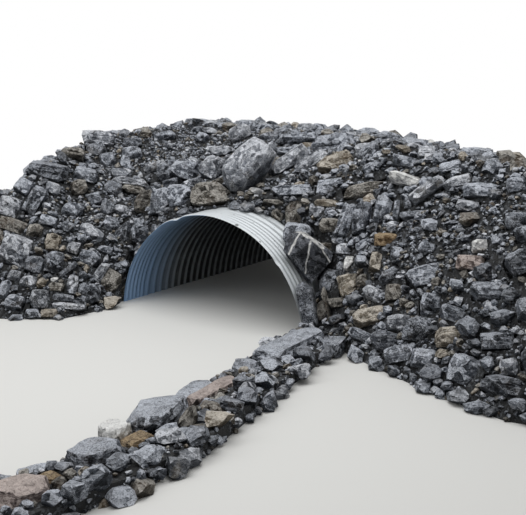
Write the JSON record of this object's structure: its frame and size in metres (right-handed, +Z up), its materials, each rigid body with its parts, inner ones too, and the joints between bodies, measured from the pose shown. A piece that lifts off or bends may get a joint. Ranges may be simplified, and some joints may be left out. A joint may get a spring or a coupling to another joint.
{
  "type": "culvert headwall",
  "caption": "Corrugated steel culvert mouth set in a bank of dumped and stacked stone, with curved left wing, right wing and a low row of toe stones beside the channel.",
  "frame": {"origin": "on the pipe's mouth plane, straight above the pipe's axis, at the water line, which is the level the part stands on", "axes": "+Y along the pipe into the bank, +X to the right as the mouth is looked at, +Z up"},
  "size_m": [9.713, 9.3562, 2.1279],
  "materials": {
    "galvanised_steel": "zinc coated, dull, with rain and mud stains",
    "dark_rock": "split slaty rock, blue-grey, with pale veins",
    "grey_rock": "split slaty rock, mid grey",
    "brown_rock": "split rock stained brown by iron",
    "pale_rock": "pale grey rock with white veins",
    "white_rock": "white quartz-rich slab",
    "broken_rock": "small dark broken rock"
  },
  "bodies": {
    "root": {"back_left_stones": "dark_rock", "back_right_stones": "dark_rock", "crest_back_stones": "dark_rock", "crest_slabs": "grey_rock", "crown_boulder": "grey_rock", "crown_face_stones": "dark_rock", "crown_side_stones": "brown_rock", "crown_slab": "grey_rock", "culvert_pipe": "galvanised_steel", "fill_crown_left": "broken_rock", "fill_crown_right": "broken_rock", "fill_left_abutment": "broken_rock", "fill_left_bend": "broken_rock", "fill_left_end": "broken_rock", "fill_left_haunch": "broken_rock", "fill_left_nose": "broken_rock", "fill_left_wing": "broken_rock", "fill_right_abutment": "broken_rock", "fill_right_end": "broken_rock", "fill_right_haunch": "broken_rock", "fill_right_nose": "broken_rock", "fill_right_wing": "broken_rock", "left_end_stones": "dark_rock", "left_jamb_stones": "dark_rock", "left_toe_stones": "dark_rock", "left_upper_stones": "dark_rock", "left_wing_stones": "dark_rock", "lintel_block": "brown_rock", "pale_block": "pale_rock", "pointed_slab": "grey_rock", "right_edge_stones": "dark_rock", "right_end_stones": "dark_rock", "right_jamb_slab": "dark_rock", "right_jamb_stones": "dark_rock", "right_shoulder_stones": "dark_rock", "right_wing_stones": "dark_rock", "rough_stones": "dark_rock", "toe_bed": "broken_rock", "toe_long_slab": "dark_rock", "toe_near_stones": "brown_rock", "toe_outer_stones": "brown_rock", "upright_stones": "dark_rock", "veined_boulder": "dark_rock", "white_slab": "white_rock"}
  },
  "joints": []
}
